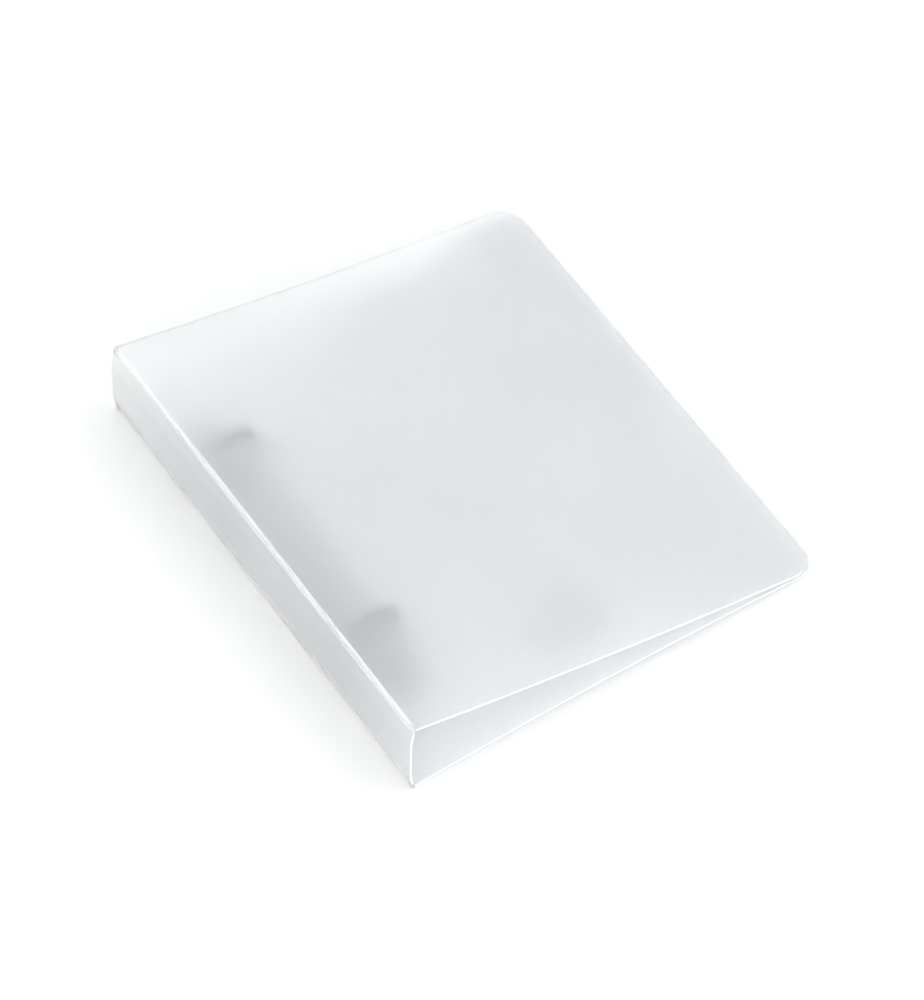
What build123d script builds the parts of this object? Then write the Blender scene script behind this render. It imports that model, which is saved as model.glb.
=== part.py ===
from build123d import *
import math
import os

# Two-ring binder for A6 sheets, lying shut on its back cover.
# +X runs from the spine to the fore edge, +Y along the spine, +Z up.
# All sizes are millimetres.  The source works with X from the outermost line
# of the spine and Y from the middle; place() moves each part to the final frame.

# covers and spine, welded up from one frosted polypropylene sheet
binder_height = 170.0       # along the spine
binder_width = 151.0        # spine to fore edge
binder_depth = 31.0         # thickness at the spine
sheet = 0.8                 # plastic thickness
corner_radius = 8.0         # rounded corners at the fore edge
spine_bow = 0.9             # how far the middle of the spine stands out past the folds
spine_flat = 12.0           # flat band along the middle of the spine
crease_band = 1.5           # pressed groove beside each fold
crease_web = 0.4            # plastic left in the groove
fold_gap = 0.7              # cover edge to fold axis
back_camber = 2.2           # back cover arches up off the table
front_sag = 1.8             # front cover hangs below its chord
front_setback = 1.0         # front cover is shorter at the fore edge
front_edge_lift = 0.45      # air between the two fore edges

# blank label on the inner face of the back cover
label_length = 22.0
label_width = 12.0
label_thickness = 0.15
label_corner = 2.0
label_from_fold = 74.0
label_from_end = 26.0

# ring mechanism, riveted to the back cover beside the spine
mechanism_x = 17.6          # middle of the housing, from the outermost spine line
mechanism_y = 1.5           # and from the middle of the binder
ring_spacing = 80.0         # standard two-hole pitch
ring_inside = 15.0          # clear diameter inside a ring
ring_wire = 2.6
ring_centre_height = 13.15  # above the seat of the housing
tip_gap = 0.1
tongue_radius = 0.55
tongue_length = 0.9
tongue_clearance = 0.15
housing_length = 120.0
housing_width = 14.0
housing_height = 6.2
housing_wall = 0.7
housing_shoulder = 1.6      # straight side of the housing below its arch
housing_lip = 1.3           # rolled lip that holds the blades
housing_end_radius = 5.5
slot_clearance = 0.35       # around the ring wire, along the housing
slot_inner_clearance = 0.4  # from the ring leg towards the crown line
slot_swing_clearance = 1.1  # and outwards, where the leg swings
blade_thickness = 0.9
blade_edge_radius = 0.5     # rounded outer edge the blade turns on
blade_side_clearance = 0.1
blade_lip_clearance = 0.05
blade_middle_gap = 0.1      # blade edge to the middle line, when level
blade_rest_angle = 4.0      # blades dip towards the middle when the rings are shut
blade_end_clearance = 1.2
ring_leg_offset = 3.6       # ring legs stand this far from the middle line
tenon_radius = 0.9
tenon_clearance = 0.02

# two rivets with washers on the outside of the back cover
rivet_spacing = 108.0
rivet_radius = 1.5
rivet_hole_clearance = 0.05
rivet_head_radius = 2.8
rivet_head_height = 1.0
rivet_tail_radius = 2.3
rivet_tail_thickness = 0.3
washer_radius = 3.2
washer_thickness = 0.25
washer_seat_gap = 0.01      # the washer is flat, the cover is slightly arched
rivet_well_radius = 4.3

# derived
fold_x = spine_bow + sheet / 2
back_fold_z = sheet / 2
front_fold_z = binder_depth - sheet / 2
front_width = binder_width - front_setback
front_edge_z = sheet + front_edge_lift + sheet / 2
ring_radius = ring_inside / 2 + ring_wire / 2
pivot_u = housing_width / 2 - housing_wall - blade_side_clearance - blade_edge_radius
pivot_w = housing_wall + blade_lip_clearance + blade_edge_radius
blade_width = pivot_u - blade_middle_gap
blade_length = rivet_spacing - 2 * (rivet_well_radius + blade_end_clearance)


def place(part):
    """Move a part so the origin is the middle of the footprint, on the table."""
    return Pos(-binder_width / 2, 0, 0) * part


def bow_circle(start, end, rise):
    """Centre and radius of the arc from start to end that rises by `rise` in the middle."""
    chord = math.hypot(end[0] - start[0], end[1] - start[1])
    radius = (chord * chord / 4 + rise * rise) / (2 * abs(rise))
    normal = (-(end[1] - start[1]) / chord, (end[0] - start[0]) / chord)
    drop = rise - math.copysign(radius, rise)
    middle = ((start[0] + end[0]) / 2, (start[1] + end[1]) / 2)
    return (middle[0] + normal[0] * drop, middle[1] + normal[1] * drop), radius


def bowed_strip(start, end, rise, thickness, offset=0.0):
    """Strip in the XZ plane whose middle line is the arc, moved up by `offset`."""
    centre, radius = bow_circle(start, end, rise)
    side = math.copysign(1.0, rise)
    a0 = math.atan2(start[1] - centre[1], start[0] - centre[0])
    a1 = math.atan2(end[1] - centre[1], end[0] - centre[0])

    def on_arc(angle, shift):
        r = radius + side * (offset + shift)
        return (centre[0] + r * math.cos(angle), centre[1] + r * math.sin(angle))

    low = [on_arc(a, -thickness / 2) for a in (a0, (a0 + a1) / 2, a1)]
    high = [on_arc(a, thickness / 2) for a in (a0, (a0 + a1) / 2, a1)]
    edges = [ThreePointArc(*low), Line(low[2], high[2]), ThreePointArc(*high), Line(high[0], low[0])]
    return make_face(edges)


def along_y(profile, length):
    """Turn a profile drawn as (x, z) into a solid centred on Y = 0."""
    return extrude(Plane.XZ * profile, amount=length / 2, both=True)


def cover_outline(right, tall):
    """Prism with the two fore-edge corners rounded."""
    block = Pos(right / 2, 0, 0) * Box(right, binder_height, tall)
    corners = block.edges().filter_by(Axis.Z).sort_by(Axis.X)[2:]
    return fillet(corners, corner_radius)


def towards(start, end, rise, distance):
    """Point on the bowed middle line, `distance` from its start."""
    centre, radius = bow_circle(start, end, rise)
    angle = math.atan2(start[1] - centre[1], start[0] - centre[0])
    angle -= math.copysign(distance / radius, rise)
    return (centre[0] + radius * math.cos(angle), centre[1] + radius * math.sin(angle))


def trimmed_cover(start, end, rise, right):
    """Bowed sheet from just beside its fold axis to the fore edge."""
    strip = along_y(bowed_strip(start, end, rise, sheet), binder_height)
    near = towards(start, end, rise, fold_gap)
    slope = math.degrees(math.atan2(near[1] - start[1], near[0] - start[0]))
    knife = Pos(near[0], 0, near[1]) * Rot(0, -slope, 0) * Pos(-5, 0, 0) * Box(10, binder_height + 2, 10)
    return (strip - knife) & cover_outline(right, 4 * binder_depth)


def front_cover():
    """Front cover: slopes from the spine to the fore edge and sags a little."""
    start = (fold_x, front_fold_z)
    end = (front_width + 2, front_edge_z - 2 * (front_fold_z - front_edge_z) / (front_width - fold_x))
    return trimmed_cover(start, end, -front_sag, front_width)


def back_cover():
    """Back cover: arches up off the table, with two holes for the rivets."""
    start = (fold_x, back_fold_z)
    end = (binder_width, back_fold_z)
    part = trimmed_cover(start, end, back_camber, binder_width)
    return part - rivet_holes(-5, 5)


def spine_outline(inset):
    """Middle line of the spine moved out by `inset`: flat band with a bend at each side."""
    flat_low = binder_depth / 2 - spine_flat / 2
    flat_high = binder_depth / 2 + spine_flat / 2
    reach = flat_low - back_fold_z - crease_band
    bend = (reach * reach + spine_bow * spine_bow) / (2 * spine_bow)
    turn = math.asin(reach / bend)
    r = bend + inset
    cx = sheet / 2 + bend
    low_end = (cx - r * math.cos(turn), flat_low - r * math.sin(turn))
    low_mid = (cx - r * math.cos(turn / 2), flat_low - r * math.sin(turn / 2))
    high_end = (low_end[0], binder_depth - low_end[1])
    high_mid = (low_mid[0], binder_depth - low_mid[1])
    return low_end, low_mid, (cx - r, flat_low), (cx - r, flat_high), high_mid, high_end


def spine_panel():
    """Spine panel between the two creases."""
    out = spine_outline(sheet / 2)
    inn = spine_outline(-sheet / 2)
    edges = [ThreePointArc(out[0], out[1], out[2]), Line(out[2], out[3]), ThreePointArc(out[3], out[4], out[5])]
    edges += [Line(out[5], inn[5]), ThreePointArc(inn[5], inn[4], inn[3]), Line(inn[3], inn[2])]
    edges += [ThreePointArc(inn[2], inn[1], inn[0]), Line(inn[0], out[0])]
    return along_y(make_face(edges), binder_height)


def crease(z_axis, upward):
    """Thin pressed web beside a fold, ending in the round bead the cover folds about."""
    end = spine_outline(0.0)[0]
    far_z = end[1] if upward else binder_depth - end[1]
    web = along_y(Polygon((fold_x - crease_web / 2, z_axis), (fold_x + crease_web / 2, z_axis),
                          (end[0] + crease_web / 2, far_z), (end[0] - crease_web / 2, far_z), align=None),
                  binder_height)
    bead = along_y(Pos(fold_x, z_axis) * Circle(sheet / 2), binder_height)
    return (web + bead) - spine_panel()


def blank_label():
    """Plain label lying on the inner face of the back cover."""
    lift = sheet / 2 + label_thickness / 2
    skin = along_y(bowed_strip((fold_x, back_fold_z), (binder_width, back_fold_z), back_camber,
                               label_thickness, lift), binder_height)
    plan = extrude(RectangleRounded(label_length, label_width, label_corner), amount=20)
    spot = Pos(fold_x + label_from_fold, -binder_height / 2 + label_from_end, 0)
    return skin & (spot * plan)


def seat_frame():
    """Frame of the ring mechanism: on the back cover, tilted with it."""
    start = (fold_x, back_fold_z)
    end = (binder_width, back_fold_z)
    centre, radius = bow_circle(start, end, back_camber)
    lean = math.asin((mechanism_x - centre[0]) / radius)
    z = centre[1] + (radius + sheet / 2) * math.cos(lean)
    x = centre[0] + (radius + sheet / 2) * math.sin(lean)
    return Pos(x, mechanism_y, z) * Rot(0, math.degrees(lean), 0)


def rivet_holes(low, high):
    """Two cylinders, in the binder frame, for the rivet shanks to pass through."""
    bore = Cylinder(rivet_radius + rivet_hole_clearance, high - low, align=(Align.CENTER, Align.CENTER, Align.MIN))
    holes = [Pos(0, s * rivet_spacing / 2, low) * bore for s in (-1, 1)]
    return seat_frame() * Compound(children=holes)


def arch(half_width, height, bottom):
    """Arched outline of the housing, drawn in its cross-section."""
    edges = [Line((-half_width, bottom), (-half_width, housing_shoulder)),
             ThreePointArc((-half_width, housing_shoulder), (0, height), (half_width, housing_shoulder)),
             Line((half_width, housing_shoulder), (half_width, bottom)),
             Line((half_width, bottom), (-half_width, bottom))]
    return make_face(edges)


def mechanism_housing():
    """Nickel-plated arched shell with rolled lips, ring slots and two rivet wells."""
    half = housing_width / 2
    filled = along_y(arch(half, housing_height, 0), housing_length)
    hollow = along_y(arch(half - housing_wall, housing_height - housing_wall, housing_wall), housing_length)
    mouth = Box(2 * (half - housing_wall - housing_lip), housing_length, 2 * housing_wall)
    shell = filled - hollow - mouth
    for s in (-1, 1):
        well = Pos(0, s * rivet_spacing / 2, 0)
        drum = Cylinder(rivet_well_radius, housing_height, align=(Align.CENTER, Align.CENTER, Align.MIN))
        bowl = Cylinder(rivet_well_radius - housing_wall, housing_height,
                        align=(Align.CENTER, Align.CENTER, Align.MIN))
        cup = drum - Pos(0, 0, housing_wall) * bowl
        shell = (shell - well * drum) + ((well * cup) & filled)
    plan = extrude(RectangleRounded(housing_width + 1, housing_length, housing_end_radius), amount=20)
    shell = shell & plan
    slot_length = ring_wire + 2 * slot_clearance
    slot_low = ring_leg_offset - ring_wire / 2 - slot_inner_clearance
    slot_high = ring_leg_offset + ring_wire / 2 + slot_swing_clearance
    slot = Box(slot_high - slot_low, slot_length, housing_height,
               align=(Align.CENTER, Align.CENTER, Align.MIN))
    for s in (-1, 1):
        for side in (-1, 1):
            middle = side * (slot_low + slot_high) / 2
            shell = shell - Pos(middle, s * ring_spacing / 2, 1.2 * housing_shoulder) * slot
    return seat_frame() * shell - rivet_holes(-1, 5)


def blade(side):
    """Flat steel blade; its round outer edge turns inside the rolled lip of the housing."""
    plate = along_y(Pos(blade_width / 2, 0) * Rectangle(blade_width, blade_thickness), blade_length)
    edge = along_y(Circle(blade_edge_radius), blade_length)
    part = plate + edge
    part = Pos(-pivot_u, 0, pivot_w) * Rot(0, blade_rest_angle, 0) * part
    for s in (-1, 1):
        part = part - Pos(0, s * ring_spacing / 2, 0) * leg_cylinder(tenon_radius + tenon_clearance, -3, 3)
    if side > 0:
        part = mirror(part, about=Plane.YZ)
    return seat_frame() * part


def leg_foot():
    """Where the middle of a spine-side ring leg meets the top of its blade: u, w, along, normal."""
    a = math.radians(blade_rest_angle)
    along = (math.cos(a), -math.sin(a))
    normal = (math.sin(a), math.cos(a))
    reach = (pivot_u - ring_leg_offset) / math.cos(a)
    u = -pivot_u + reach * along[0] + blade_thickness / 2 * normal[0]
    w = pivot_w + reach * along[1] + blade_thickness / 2 * normal[1]
    return u, w, normal


def leg_cylinder(radius, low, high):
    """Cylinder along the leg of a spine-side ring half, from low to high above the blade top."""
    u, w, _ = leg_foot()
    post = Cylinder(radius, high - low, align=(Align.CENTER, Align.CENTER, Align.MIN))
    return Pos(u, 0, w) * Rot(0, blade_rest_angle, 0) * Pos(0, 0, low) * post


def leg_knee():
    """Height above the blade top at which the leg line meets the ring circle, and that point."""
    u, w, normal = leg_foot()
    du = u
    dw = w - ring_centre_height
    b = du * normal[0] + dw * normal[1]
    c = du * du + dw * dw - ring_radius * ring_radius
    height = -b - math.sqrt(b * b - c)
    return height, u + height * normal[0], w + height * normal[1]


def ring_half(end, side):
    """Half of one ring: leg, knee and arc up to the tip; the tips interlock on top."""
    height, ku, kw = leg_knee()
    knee_angle = math.degrees(math.atan2(kw - ring_centre_height, ku)) % 360
    tip_angle = 90 + math.degrees(tip_gap / 2 / ring_radius)
    centre = Plane.XZ * Pos(0, ring_centre_height)
    path = centre * CenterArc((0, 0), ring_radius, tip_angle, knee_angle - tip_angle)
    start = path @ 0
    part = sweep(Plane(origin=start, z_dir=path % 0) * Circle(ring_wire / 2), path=path)
    part = part + Pos(ku, 0, kw) * Sphere(ring_wire / 2)
    part = part + leg_cylinder(ring_wire / 2, 0, height)
    part = part + leg_cylinder(tenon_radius, -blade_thickness, 0)
    top = ring_centre_height + ring_radius
    if side > 0:
        part = mirror(part, about=Plane.YZ)
        tongue = Pos(0, 0, top) * Rot(0, -90, 0) * Cylinder(
            tongue_radius, tongue_length + tip_gap, align=(Align.CENTER, Align.CENTER, Align.MIN))
        part = part + Pos(tip_gap, 0, 0) * tongue
    else:
        socket = Pos(0, 0, top) * Rot(0, -90, 0) * Cylinder(
            tongue_radius + tongue_clearance, tongue_length + 2 * tongue_clearance,
            align=(Align.CENTER, Align.CENTER, Align.MIN))
        part = part - socket
    return seat_frame() * Pos(0, end * ring_spacing / 2, 0) * part


def rivet(end):
    """Set rivet: domed head in the well, shank through the cover, flat tail under the washer."""
    low = -sheet - washer_seat_gap - washer_thickness
    shank = Pos(0, 0, low) * Cylinder(rivet_radius, housing_wall - low,
                                      align=(Align.CENTER, Align.CENTER, Align.MIN))
    tail = Pos(0, 0, low - rivet_tail_thickness) * Cylinder(
        rivet_tail_radius, rivet_tail_thickness, align=(Align.CENTER, Align.CENTER, Align.MIN))
    head = Pos(0, 0, housing_wall) * Cylinder(rivet_head_radius, rivet_head_height,
                                              align=(Align.CENTER, Align.CENTER, Align.MIN))
    head = fillet(head.edges().sort_by(Axis.Z)[-1], rivet_head_height * 0.7)
    return seat_frame() * Pos(0, end * rivet_spacing / 2, 0) * (shank + tail + head)


def rivet_washer(end):
    """Thin washer between the back cover and the tail of a rivet."""
    disc = Pos(0, 0, -sheet - washer_seat_gap - washer_thickness) * Cylinder(
        washer_radius, washer_thickness, align=(Align.CENTER, Align.CENTER, Align.MIN))
    part = seat_frame() * Pos(0, end * rivet_spacing / 2, 0) * disc
    return part - rivet_holes(-5, 5)


parts = {
    "front_cover": front_cover(),
    "spine_panel": spine_panel(),
    "back_cover": back_cover(),
    "front_crease": crease(front_fold_z, False),
    "back_crease": crease(back_fold_z, True),
    "blank_label": blank_label(),
    "mechanism_housing": mechanism_housing(),
    "blade_spine_side": blade(-1),
    "blade_fore_side": blade(1),
    "ring_upper_spine_half": ring_half(1, -1),
    "ring_upper_fore_half": ring_half(1, 1),
    "ring_lower_spine_half": ring_half(-1, -1),
    "ring_lower_fore_half": ring_half(-1, 1),
    "rivet_upper": rivet(1),
    "rivet_lower": rivet(-1),
    "rivet_washer_upper": rivet_washer(1),
    "rivet_washer_lower": rivet_washer(-1),
}

os.makedirs("parts", exist_ok=True)
for node, shape in parts.items():
    export_step(place(shape), "parts/" + node + ".step")
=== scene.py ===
import math

import bpy
import numpy as np
from mathutils import Matrix


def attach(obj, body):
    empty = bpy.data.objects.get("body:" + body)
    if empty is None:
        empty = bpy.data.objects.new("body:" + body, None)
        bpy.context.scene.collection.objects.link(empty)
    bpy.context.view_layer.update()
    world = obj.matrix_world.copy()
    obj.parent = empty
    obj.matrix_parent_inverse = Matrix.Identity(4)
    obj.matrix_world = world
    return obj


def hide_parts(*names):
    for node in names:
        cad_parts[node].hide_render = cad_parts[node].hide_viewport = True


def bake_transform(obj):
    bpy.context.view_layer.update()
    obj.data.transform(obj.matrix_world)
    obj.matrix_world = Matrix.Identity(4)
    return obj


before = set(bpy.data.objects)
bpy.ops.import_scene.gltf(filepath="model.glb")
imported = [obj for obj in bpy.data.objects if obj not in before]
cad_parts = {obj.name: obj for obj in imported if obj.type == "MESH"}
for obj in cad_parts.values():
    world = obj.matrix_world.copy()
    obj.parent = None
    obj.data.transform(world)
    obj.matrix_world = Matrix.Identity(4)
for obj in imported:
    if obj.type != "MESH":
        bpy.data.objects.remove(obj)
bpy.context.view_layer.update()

# Camera: a long lens above the bottom end of the spine, looking down over the closed
# front cover.  It stands 1.78 m away and is rolled by two degrees.
CAMERA_AZIMUTH = math.radians(-35.12)
CAMERA_ELEVATION = math.radians(53.76)
CAMERA_ROLL = math.radians(2.05)
CAMERA_DISTANCE = 1.778
CAMERA_TARGET = np.array([-0.0027, -0.0036, 0.0])
CAMERA_LENS = 205.6


def camera_axes(azimuth, elevation, roll):
    """Right, up and backward unit vectors of a camera: azimuth turns about +Z, elevation
    rises from the floor, and roll turns about the view line."""
    back = np.array([math.sin(azimuth) * math.cos(elevation),
                     -math.cos(azimuth) * math.cos(elevation),
                     math.sin(elevation)])
    level = np.cross(-back, [0.0, 0.0, 1.0])
    level /= np.linalg.norm(level)
    rise = np.cross(level, -back)
    right = math.cos(roll) * level + math.sin(roll) * rise
    up = -math.sin(roll) * level + math.cos(roll) * rise
    return right, up, back


camera_data = bpy.data.cameras.new("camera")
camera_data.lens = CAMERA_LENS
camera_data.sensor_width = 36.0
camera_data.clip_start = 0.1
camera_data.clip_end = 20.0
camera = bpy.data.objects.new("camera", camera_data)
bpy.context.scene.collection.objects.link(camera)
bpy.context.scene.camera = camera
right, up, back = camera_axes(CAMERA_AZIMUTH, CAMERA_ELEVATION, CAMERA_ROLL)
place = np.eye(4)
place[:3, 0], place[:3, 1], place[:3, 2] = right, up, back
place[:3, 3] = CAMERA_TARGET + CAMERA_DISTANCE * back
camera.matrix_world = Matrix(place.tolist())

# Studio: a plain floor under an even white sky, with a soft lamp above and a lower one
# that lights the spine and the open end.  The floor is a mid grey and the sky bright, so
# the floor comes out white.
SKY_COLOUR = (0.98, 0.99, 1.0, 1.0)
SKY_STRENGTH = 1.57
FLOOR_GREY = (0.62, 0.62, 0.62, 1.0)
FLOOR_REACH = 6.0
FLOOR_Z = -0.0003
scene = bpy.context.scene
scene.view_settings.view_transform = "Standard"
scene.view_settings.look = "None"
scene.view_settings.exposure = 0.0
scene.cycles.max_bounces = 32
scene.cycles.transmission_bounces = 32
scene.cycles.diffuse_bounces = 8
scene.cycles.glossy_bounces = 32
scene.cycles.transparent_max_bounces = 16

world = bpy.data.worlds.new("studio_sky")
world.use_nodes = True
scene.world = world
sky = world.node_tree.nodes["Background"]
sky.inputs["Color"].default_value = SKY_COLOUR
sky.inputs["Strength"].default_value = SKY_STRENGTH


def soft_lamp(name, place, width, power, colour):
    """A square area lamp at `place`, turned to face the origin."""
    data = bpy.data.lights.new(name, "AREA")
    data.shape = "SQUARE"
    data.size = width
    data.energy = power
    data.color = colour
    lamp = bpy.data.objects.new(name, data)
    scene.collection.objects.link(lamp)
    back = np.array(place, float)
    back /= np.linalg.norm(back)
    side = np.cross([0.0, 0.0, 1.0], back)
    side /= np.linalg.norm(side)
    turn = np.eye(4)
    turn[:3, 0], turn[:3, 1], turn[:3, 2] = side, np.cross(back, side), back
    turn[:3, 3] = place
    lamp.matrix_world = Matrix(turn.tolist())


soft_lamp("side_lamp", (-0.7, -0.8, 0.45), 0.6, 4.0, (1.0, 1.0, 1.0))
soft_lamp("key_lamp", (0.5, -0.5, 1.1), 0.8, 3.0, (1.0, 0.99, 0.97))


def grid_faces(rows, columns):
    """Quad corners of a rows x columns grid of points, row by row.  A face points along the
    cross product of the row step and the column step."""
    r, c = np.meshgrid(np.arange(rows - 1), np.arange(columns - 1), indexing="ij")
    a = (r * columns + c).ravel()
    return np.stack([a, a + columns, a + columns + 1, a + 1], axis=1)


def mesh_object(name, points, faces, smooth=True):
    """A new object at the origin with these points and faces."""
    mesh = bpy.data.meshes.new(name)
    mesh.from_pydata(points.tolist(), [], faces.tolist())
    mesh.polygons.foreach_set("use_smooth", np.full(len(mesh.polygons), smooth))
    mesh.update()
    made = bpy.data.objects.new(name, mesh)
    scene.collection.objects.link(made)
    return made


floor_points = np.array([[-FLOOR_REACH, -FLOOR_REACH, FLOOR_Z],
                         [FLOOR_REACH, -FLOOR_REACH, FLOOR_Z],
                         [FLOOR_REACH, FLOOR_REACH, FLOOR_Z],
                         [-FLOOR_REACH, FLOOR_REACH, FLOOR_Z]])
floor = mesh_object("floor", floor_points, np.array([[0, 1, 2, 3]]), smooth=False)
floor_paint = bpy.data.materials.new("floor_paint")
floor_paint.use_nodes = True
floor_shader = floor_paint.node_tree.nodes["Principled BSDF"]
floor_shader.inputs["Base Color"].default_value = FLOOR_GREY
floor_shader.inputs["Roughness"].default_value = 0.9
floor_shader.inputs["Specular IOR Level"].default_value = 0.0
floor.data.materials.append(floor_paint)

# Frosted sheet: the covers and spine are cut from one 0.8 mm polypropylene sheet, matt
# outside and smoother inside.  Light passes through it and is scattered a little.
SHEET = 0.0008
EDGE_BEVEL = 0.00012
HALF_HEIGHT = 0.085
COVER_CORNER = 0.008
FOLD_GAP = 0.00075
SHEET_IOR = 1.49
SHEET_FINISH = ((0.990, 0.991, 0.992), (0.994, 0.995, 0.996), 0.94, 0.62, 0.68)
LINING_FINISH = ((0.994, 0.995, 0.996), (0.996, 0.997, 0.998), 1.0, 0.20, 0.26)
EDGE_FINISH = ((0.97, 0.98, 0.985), (0.98, 0.985, 0.99), 0.35, 0.45, 0.55)


def new_group(name, inputs, outputs):
    """An empty shader node group with these named sockets."""
    group = bpy.data.node_groups.new(name, "ShaderNodeTree")
    for label, kind, value in inputs:
        socket = group.interface.new_socket(name=label, in_out="INPUT", socket_type=kind)
        socket.default_value = value
    for label, kind in outputs:
        group.interface.new_socket(name=label, in_out="OUTPUT", socket_type=kind)
    return group, group.nodes.new("NodeGroupInput"), group.nodes.new("NodeGroupOutput")


def wire(tree, source, target):
    """Joins an output socket to an input socket."""
    tree.links.new(source, target)


def fine_grain_group():
    """Matt grain: a fine noise, put out as Height, and a broad soft one, put out as Cloud."""
    group, entry, leave = new_group(
        "fine_grain",
        [("Grain Size", "NodeSocketFloat", 2500.0), ("Cloud Size", "NodeSocketFloat", 40.0)],
        [("Height", "NodeSocketFloat"), ("Cloud", "NodeSocketFloat")])
    place = group.nodes.new("ShaderNodeTexCoord")
    fine = group.nodes.new("ShaderNodeTexNoise")
    fine.inputs["Detail"].default_value = 3.0
    fine.inputs["Roughness"].default_value = 0.6
    broad = group.nodes.new("ShaderNodeTexNoise")
    broad.inputs["Detail"].default_value = 2.0
    wire(group, place.outputs["Object"], fine.inputs["Vector"])
    wire(group, place.outputs["Object"], broad.inputs["Vector"])
    wire(group, entry.outputs["Grain Size"], fine.inputs["Scale"])
    wire(group, entry.outputs["Cloud Size"], broad.inputs["Scale"])
    wire(group, fine.outputs["Fac"], leave.inputs["Height"])
    wire(group, broad.outputs["Fac"], leave.inputs["Cloud"])
    return group


fine_grain = fine_grain_group()


def ranged(tree, source, low, high):
    """Spreads a noise, whose values lie mostly in 0.25..0.75, over low..high."""
    node = tree.nodes.new("ShaderNodeMapRange")
    node.inputs["From Min"].default_value = 0.25
    node.inputs["From Max"].default_value = 0.75
    node.inputs["To Min"].default_value = low
    node.inputs["To Max"].default_value = high
    wire(tree, source, node.inputs["Value"])
    return node.outputs["Result"]


def tint_mix(tree, source, first, second):
    """Colour from first to second by a 0..1 mask."""
    node = tree.nodes.new("ShaderNodeMix")
    node.data_type = "RGBA"
    node.inputs["A"].default_value = (*first, 1.0)
    node.inputs["B"].default_value = (*second, 1.0)
    wire(tree, source, node.inputs["Factor"])
    return node.outputs["Result"]


def frosted_plastic(name, first, second, clearness, rough_low, rough_high):
    """Frosted polypropylene: `clearness` is the share of light that passes through, and the
    rest is a milky scatter.  Tone and roughness drift with a broad cloud between two values."""
    material = bpy.data.materials.new(name)
    material.use_nodes = True
    tree = material.node_tree
    shader = tree.nodes["Principled BSDF"]
    grain = tree.nodes.new("ShaderNodeGroup")
    grain.node_tree = fine_grain
    shader.inputs["IOR"].default_value = SHEET_IOR
    shader.inputs["Transmission Weight"].default_value = clearness
    wire(tree, tint_mix(tree, ranged(tree, grain.outputs["Cloud"], 0.0, 1.0), first, second),
         shader.inputs["Base Color"])
    wire(tree, ranged(tree, grain.outputs["Cloud"], rough_low, rough_high),
         shader.inputs["Roughness"])
    bump = tree.nodes.new("ShaderNodeBump")
    bump.inputs["Strength"].default_value = 0.05
    bump.inputs["Distance"].default_value = 0.00005
    wire(tree, grain.outputs["Height"], bump.inputs["Height"])
    wire(tree, bump.outputs["Normal"], shader.inputs["Normal"])
    return material


sheet_plastic = frosted_plastic("frosted_sheet", *SHEET_FINISH)
sheet_lining = frosted_plastic("frosted_lining", *LINING_FINISH)
cut_edge = frosted_plastic("cut_edge", *EDGE_FINISH)


def bow_circle(start, end, rise):
    """Centre and radius of the circle through start and end, whose arc rises by `rise` above
    the chord.  The radius is a quarter of the chord squared plus the rise squared, over
    twice the rise."""
    start, end = np.array(start), np.array(end)
    chord = np.linalg.norm(end - start)
    radius = (chord * chord / 4 + rise * rise) / (2 * abs(rise))
    normal = np.array([-(end - start)[1], (end - start)[0]]) / chord
    return (start + end) / 2 + normal * (rise - math.copysign(radius, rise)), radius


def cover_sheet(name, start, end, rise, fore_x):
    """Middle surface of a cover: a circular bow from the fold to the fore edge, carried along Y.
    The half length falls as a quarter circle over the last COVER_CORNER of X, which rounds
    the corners."""
    centre, radius = bow_circle(start, end, rise)
    side = math.copysign(1.0, rise)
    flat_x = np.linspace(start[0] + FOLD_GAP, fore_x - COVER_CORNER, 60)
    turn = np.linspace(0.0, math.pi / 2, 14)[1:]
    x = np.concatenate([flat_x, fore_x - COVER_CORNER + COVER_CORNER * np.sin(turn)])
    half = np.concatenate([np.full(flat_x.shape, HALF_HEIGHT),
                           HALF_HEIGHT - COVER_CORNER + COVER_CORNER * np.cos(turn)])
    z = centre[1] + side * np.sqrt(radius ** 2 - (x - centre[0]) ** 2)
    t = np.linspace(-1.0, 1.0, 61)
    xs = np.repeat(x[:, None], t.size, axis=1)
    zs = np.repeat(z[:, None], t.size, axis=1)
    ys = half[:, None] * t[None, :]
    points = np.stack([xs, ys, zs], axis=-1).reshape(-1, 3)
    return mesh_object(name, points, grid_faces(x.size, t.size))


def thicken(piece, outside, inside):
    """Gives a sheet its thickness both ways from the middle.  Its three materials are the
    outside, the cut edge and the inside, in the order of the offsets below."""
    piece.data.materials.append(outside)
    piece.data.materials.append(cut_edge)
    piece.data.materials.append(inside)
    solid = piece.modifiers.new("thickness", "SOLIDIFY")
    solid.thickness = SHEET
    solid.offset = 0.0
    solid.use_even_offset = True
    solid.material_offset_rim = 1
    solid.material_offset = 2
    edge = piece.modifiers.new("edge", "BEVEL")
    edge.width = EDGE_BEVEL
    edge.segments = 2
    edge.limit_method = "ANGLE"
    edge.angle_limit = math.radians(50)
    edge.harden_normals = True


# Front cover: a sheet that slopes from the spine down to the fore edge, where it rests on
# the back cover.  It is 1 mm shorter than the back cover and sags slightly in the middle.
FOLD_X = -0.0742
FRONT_FOLD = (FOLD_X, 0.0306)
FRONT_FORE_EDGE = (0.0765, 0.0012606)
FRONT_SAG = -0.0018
FRONT_FORE_X = 0.0745

# Its far corner at the spine is darkened by painted shade.  That stands in for a backdrop dimmer
# than this floor, seen through the sheet, and is no property of the plastic.
CORNER_PAINTED_SHADE = (0.84, 0.85, 0.85)
CORNER_SHADE_ALONG_Y = (0.045, 0.085)
CORNER_SHADE_ACROSS_X = (0.050, -0.040)


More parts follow.
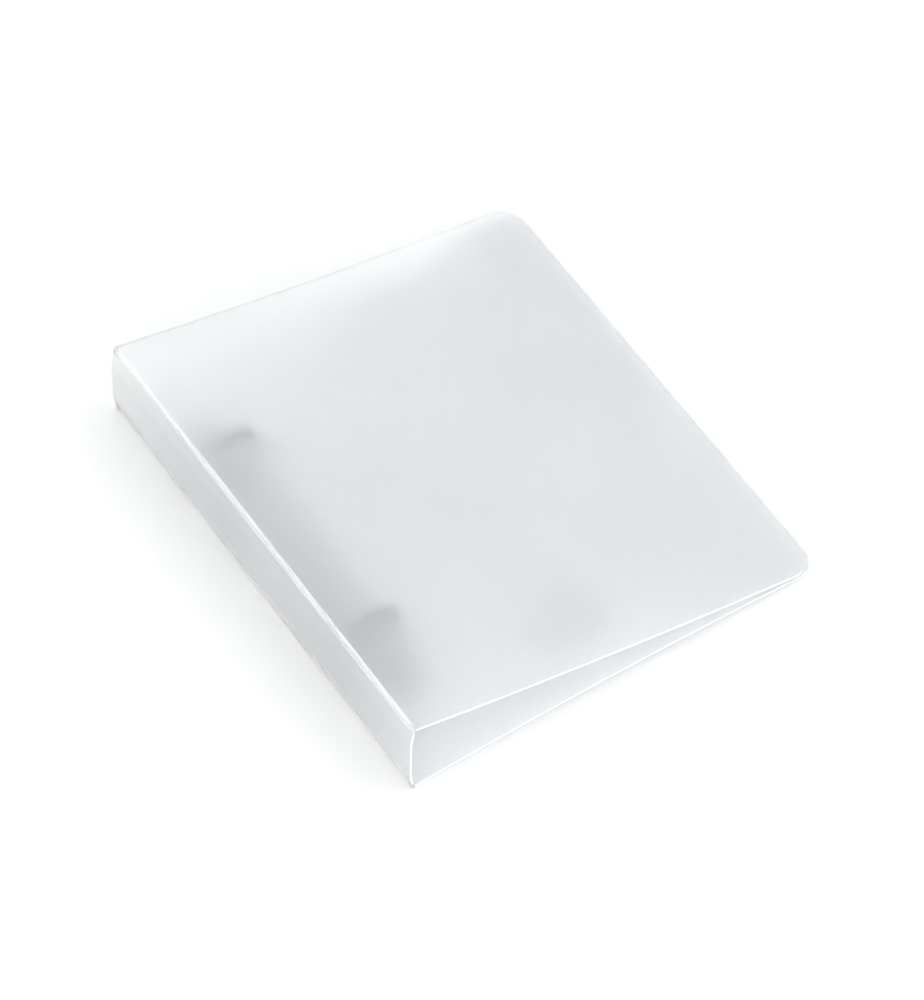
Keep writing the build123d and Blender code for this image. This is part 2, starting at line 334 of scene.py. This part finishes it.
def paint_corner_shade(material):
    """Paints shade into the far corner: multiplies the base colour by the painted shade colour,
    as far
    as the product of two ramps says: one along Y and one across X, each rising from 0 to 1."""
    tree = material.node_tree
    colour = tree.nodes["Principled BSDF"].inputs["Base Color"]
    place = tree.nodes.new("ShaderNodeTexCoord")
    axes = tree.nodes.new("ShaderNodeSeparateXYZ")
    wire(tree, place.outputs["Object"], axes.inputs["Vector"])
    ramps = []
    for axis, (start, end) in (("Y", CORNER_SHADE_ALONG_Y), ("X", CORNER_SHADE_ACROSS_X)):
        ramp = tree.nodes.new("ShaderNodeMapRange")
        ramp.inputs["From Min"].default_value = start
        ramp.inputs["From Max"].default_value = end
        wire(tree, axes.outputs[axis], ramp.inputs["Value"])
        ramps.append(ramp)
    both = tree.nodes.new("ShaderNodeMath")
    both.operation = "MULTIPLY"
    wire(tree, ramps[0].outputs["Result"], both.inputs[0])
    wire(tree, ramps[1].outputs["Result"], both.inputs[1])
    corner_shading = tree.nodes.new("ShaderNodeMix")
    corner_shading.data_type = "RGBA"
    corner_shading.blend_type = "MULTIPLY"
    corner_shading.inputs["B"].default_value = (*CORNER_PAINTED_SHADE, 1.0)
    wire(tree, both.outputs["Value"], corner_shading.inputs["Factor"])
    wire(tree, colour.links[0].from_socket, corner_shading.inputs["A"])
    wire(tree, corner_shading.outputs["Result"], colour)


# The lid's material carries the painted shade in its far corner.
lid_plastic_shaded = frosted_plastic("frosted_lid_corner_shade", *SHEET_FINISH)
paint_corner_shade(lid_plastic_shaded)
front_cover = cover_sheet("front_cover_sheet", FRONT_FOLD, FRONT_FORE_EDGE, FRONT_SAG,
                          FRONT_FORE_X)
thicken(front_cover, lid_plastic_shaded, sheet_lining)
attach(front_cover, "front")
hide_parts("front_cover")

# Back cover: lies on the table on its spine and fore edges and arches up between them.  It
# is really the same sheet as the front cover.  Its darker base colour is painted shade, for the
# shade under the closed front cover, and its milkier mix is a stand-in too, so that the inside
# reads darker than the front cover.
BACK_FOLD = (FOLD_X, 0.0004)
BACK_FORE_EDGE = (0.0755, 0.0004)
BACK_ARCH = 0.0022
BACK_FORE_X = 0.07546
BACK_SHADED_MIX = ((0.918, 0.933, 0.940), (0.925, 0.940, 0.946), 0.82, 0.66, 0.72)
back_plastic_shaded = frosted_plastic("frosted_back_shaded", *BACK_SHADED_MIX)
back_cover = cover_sheet("back_cover_sheet", BACK_FOLD, BACK_FORE_EDGE, BACK_ARCH, BACK_FORE_X)
thicken(back_cover, back_plastic_shaded, back_plastic_shaded)
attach(back_cover, "back")
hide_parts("back_cover")

# Spine panel: the strip of sheet between the two folds, bowed outwards, with a flat band
# along its middle.
SPINE_MIDDLE_Z = 0.0155
SPINE_BAND_X = -0.0751
SPINE_BAND_LOW_Z = 0.0095
SPINE_BEND = 0.03254
SPINE_BEND_TURN = math.radians(13.5)


def spine_sheet(name):
    """Middle surface of the spine: a flat band with a circular bend at each side, carried
    along Y."""
    angle = np.linspace(SPINE_BEND_TURN, 0.0, 12)
    low = np.stack([SPINE_BAND_X + SPINE_BEND * (1 - np.cos(angle)),
                    SPINE_BAND_LOW_Z - SPINE_BEND * np.sin(angle)], axis=1)
    high = np.stack([low[::-1, 0], 2 * SPINE_MIDDLE_Z - low[::-1, 1]], axis=1)
    line = np.concatenate([low, high])
    y = np.linspace(-HALF_HEIGHT, HALF_HEIGHT, 61)
    points = np.stack([np.repeat(line[:, :1], y.size, axis=1),
                       np.repeat(y[None, :], len(line), axis=0),
                       np.repeat(line[:, 1:], y.size, axis=1)], axis=-1).reshape(-1, 3)
    return mesh_object(name, points, grid_faces(len(line), y.size))


spine = spine_sheet("spine_sheet")
thicken(spine, sheet_plastic, sheet_lining)
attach(spine, "spine")
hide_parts("spine_panel")

# Folds: each fold is a groove pressed into the sheet, thinner than the rest, on the spine
# side of the line that the cover turns about.
FOLD_BEND = 0.00035
FOLD_DOWN_SPINE = 0.00168
FOLD_OUT_COVER = 0.00073
GROOVE_DEPTH = 0.00018
GROOVE_START, GROOVE_START_RUN = 0.00012, 0.00018
GROOVE_END, GROOVE_END_RUN = 0.00128, 0.00022
BEND_RELIEF_REACH = 0.0004
FRONT_FOLD_SLOPE = math.radians(-13.3)
BACK_FOLD_SLOPE = math.radians(-3.4)
PRESSED_FINISH = ((0.992, 0.994, 0.996), (0.995, 0.997, 0.998), 0.9, 0.60, 0.66)
pressed_plastic = frosted_plastic("pressed_fold", *PRESSED_FINISH)


def fold_strip(name, axis, away, cover_angle):
    """Closed section carried along Y: the middle line runs up the spine, round the fold as an
    arc, and out along the cover, with half the thickness to each side.  The half thickness
    drops by GROOVE_DEPTH in the groove, as a smooth step in and out, and on the inside also
    round the middle of the bend, as a bell curve."""
    ax, az = axis
    turn = math.pi / 2 - cover_angle
    tangent = FOLD_BEND * math.tan(turn / 2)
    straight = np.linspace(FOLD_DOWN_SPINE, tangent, 14)
    spine_part = np.stack([np.full(straight.shape, 0.0), -straight], axis=1)
    angles = np.linspace(0.0, turn, 12)[1:]
    arc = np.stack([FOLD_BEND * (1 - np.cos(angles)), -tangent + FOLD_BEND * np.sin(angles)],
                   axis=1)
    out = np.linspace(0.0, FOLD_OUT_COVER - tangent, 6)[1:]
    heading = np.array([math.sin(turn), math.cos(turn)])
    cover_part = arc[-1] + out[:, None] * heading
    middle = np.concatenate([spine_part, arc, cover_part])
    step = np.gradient(middle, axis=0)
    step /= np.linalg.norm(step, axis=1)[:, None]
    outward = np.stack([-step[:, 1], step[:, 0]], axis=1)
    along = np.concatenate([[0.0], np.cumsum(np.linalg.norm(np.diff(middle, axis=0), axis=1))])
    groove = (np.clip((along - GROOVE_START) / GROOVE_START_RUN, 0, 1)
              * np.clip((GROOVE_END - along) / GROOVE_END_RUN, 0, 1))
    groove = groove * groove * (3 - 2 * groove)
    outer = SHEET / 2 - GROOVE_DEPTH * groove
    bent = np.exp(-((along - along[len(spine_part) + 5]) / BEND_RELIEF_REACH) ** 2)
    inner = outer - GROOVE_DEPTH * bent * (1 - groove)
    skin = middle + outward * outer[:, None]
    lining = middle - outward * inner[:, None]
    loop = np.concatenate([skin, lining[::-1]])
    section = np.stack([ax + loop[:, 0], az + away * loop[:, 1]], axis=1)
    y = np.linspace(-HALF_HEIGHT, HALF_HEIGHT, 35)
    n = len(section)
    points = np.stack([np.repeat(section[None, :, 0], y.size, axis=0),
                       np.repeat(y[:, None], n, axis=1),
                       np.repeat(section[None, :, 1], y.size, axis=0)], axis=-1).reshape(-1, 3)
    row, col = np.meshgrid(np.arange(y.size - 1), np.arange(n), indexing="ij")
    a = (row * n + col).ravel()
    b = (row * n + (col + 1) % n).ravel()
    walls = np.stack([a, b, b + n, a + n], axis=1)
    half = n // 2
    k = np.arange(half - 1)
    cap = np.stack([k, n - 1 - k, n - 2 - k, k + 1], axis=1)
    caps = np.concatenate([cap, (cap + (y.size - 1) * n)[:, ::-1]])
    faces = np.concatenate([walls, caps])
    if away < 0:
        faces = faces[:, ::-1]
    made = mesh_object(name, points, faces)
    made.data.polygons.foreach_set("use_smooth", np.arange(len(faces)) < len(walls))
    made.data.materials.append(pressed_plastic)
    return made


front_fold = fold_strip("front_fold_strip", FRONT_FOLD, 1.0, FRONT_FOLD_SLOPE)
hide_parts("front_crease")
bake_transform(front_fold)

back_fold = fold_strip("back_fold_strip", BACK_FOLD, -1.0, BACK_FOLD_SLOPE)
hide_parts("back_crease")
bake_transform(back_fold)


# Ring mechanism: a stamped spring-steel housing, two blades and two rings of round wire, all
# plated, riveted to the back cover.  Housing and rings are darker than real nickel plate: their
# base colour is partly the plate's own grey and partly painted shade, for the shade in and under
# the mechanism and the dark surroundings it reflects, so that they stand out through the frosted
# sheet.
PLATE_SHADED_DARK = (0.16, 0.18, 0.21)
PLATE_SHADED_LIGHT = (0.23, 0.25, 0.28)
PLATE_CLOUD = 180.0


def plated_steel(name, dark, light, rough_low, rough_high, grain_size):
    """Plated steel: its tone drifts with a broad cloud from dark to light, and a fine grain
    drives its roughness and a soft bump."""
    material = bpy.data.materials.new(name)
    material.use_nodes = True
    tree = material.node_tree
    shader = tree.nodes["Principled BSDF"]
    grain = tree.nodes.new("ShaderNodeGroup")
    grain.node_tree = fine_grain
    grain.inputs["Grain Size"].default_value = grain_size
    grain.inputs["Cloud Size"].default_value = PLATE_CLOUD
    shader.inputs["Metallic"].default_value = 1.0
    wire(tree, tint_mix(tree, ranged(tree, grain.outputs["Cloud"], 0.0, 1.0), dark, light),
         shader.inputs["Base Color"])
    wire(tree, ranged(tree, grain.outputs["Height"], rough_low, rough_high),
         shader.inputs["Roughness"])
    bump = tree.nodes.new("ShaderNodeBump")
    bump.inputs["Strength"].default_value = 0.1
    bump.inputs["Distance"].default_value = 0.00005
    wire(tree, grain.outputs["Height"], bump.inputs["Height"])
    wire(tree, bump.outputs["Normal"], shader.inputs["Normal"])
    return material


def refinish(nodes, material):
    """Puts a material on CAD nodes in place of the plain one."""
    for node in nodes:
        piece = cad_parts[node]
        piece.data.materials.clear()
        piece.data.materials.append(material)


# Housing and rings take plate colours with painted shade in them.
refinish(["mechanism_housing"],
         plated_steel("housing_plate_shaded", PLATE_SHADED_DARK, PLATE_SHADED_LIGHT, 0.22, 0.34, 900.0))
refinish(["blade_spine_side", "blade_fore_side"],
         plated_steel("blade_plate", (0.42, 0.42, 0.43), (0.52, 0.52, 0.53), 0.32, 0.46, 1400.0))
refinish(["ring_upper_spine_half", "ring_upper_fore_half",
          "ring_lower_spine_half", "ring_lower_fore_half"],
         plated_steel("ring_plate_shaded", PLATE_SHADED_DARK, PLATE_SHADED_LIGHT, 0.16, 0.26, 1200.0))
refinish(["rivet_upper", "rivet_lower", "rivet_washer_upper", "rivet_washer_lower"],
         plated_steel("rivet_plate", (0.50, 0.50, 0.51), (0.60, 0.60, 0.61), 0.25, 0.4, 1600.0))

# Label: a small paper sticker, stuck to the inner face of the back cover.  It is blank, and
# its paper has a fine grain.
LABEL_DARK = (0.36, 0.37, 0.39)
LABEL_LIGHT = (0.44, 0.45, 0.47)
LABEL_GRAIN = 1800.0
label_paper = bpy.data.materials.new("label_paper")
label_paper.use_nodes = True
label_tree = label_paper.node_tree
label_grain = label_tree.nodes.new("ShaderNodeGroup")
label_grain.node_tree = fine_grain
label_grain.inputs["Grain Size"].default_value = LABEL_GRAIN
label_shader = label_tree.nodes["Principled BSDF"]
label_shader.inputs["Roughness"].default_value = 0.8
wire(label_tree, tint_mix(label_tree, ranged(label_tree, label_grain.outputs["Height"], 0.0, 1.0),
                          LABEL_DARK, LABEL_LIGHT),
     label_shader.inputs["Base Color"])
refinish(["blank_label"], label_paper)
